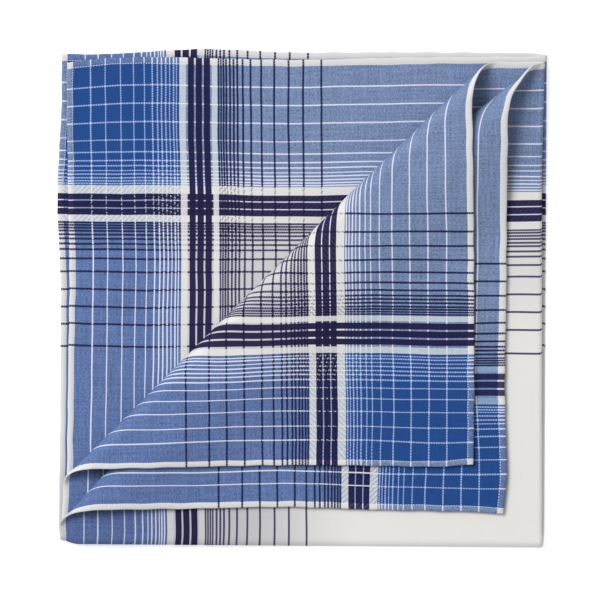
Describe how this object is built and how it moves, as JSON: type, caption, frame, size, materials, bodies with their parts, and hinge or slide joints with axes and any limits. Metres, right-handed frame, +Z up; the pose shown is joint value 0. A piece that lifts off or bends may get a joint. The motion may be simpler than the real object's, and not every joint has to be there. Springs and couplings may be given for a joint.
{
  "type": "folded cotton handkerchief",
  "caption": "Square woven cotton handkerchief with rolled hems, folded in four, its two upper free corners turned back across the diagonal in soft rolls.",
  "frame": {"origin": "on the underside, below the middle of the folded square's outline", "axes": "+Z up out of the underside, +X to the fold on the right, +Y to the hems at the top as the picture shows them"},
  "size_m": [0.2165, 0.2193, 0.019],
  "materials": {
    "woven_cotton": "matt plain-woven cotton with a yarn-dyed blue, navy and white check border"
  },
  "bodies": {
    "root": {"handkerchief": "woven_cotton"}
  },
  "joints": []
}
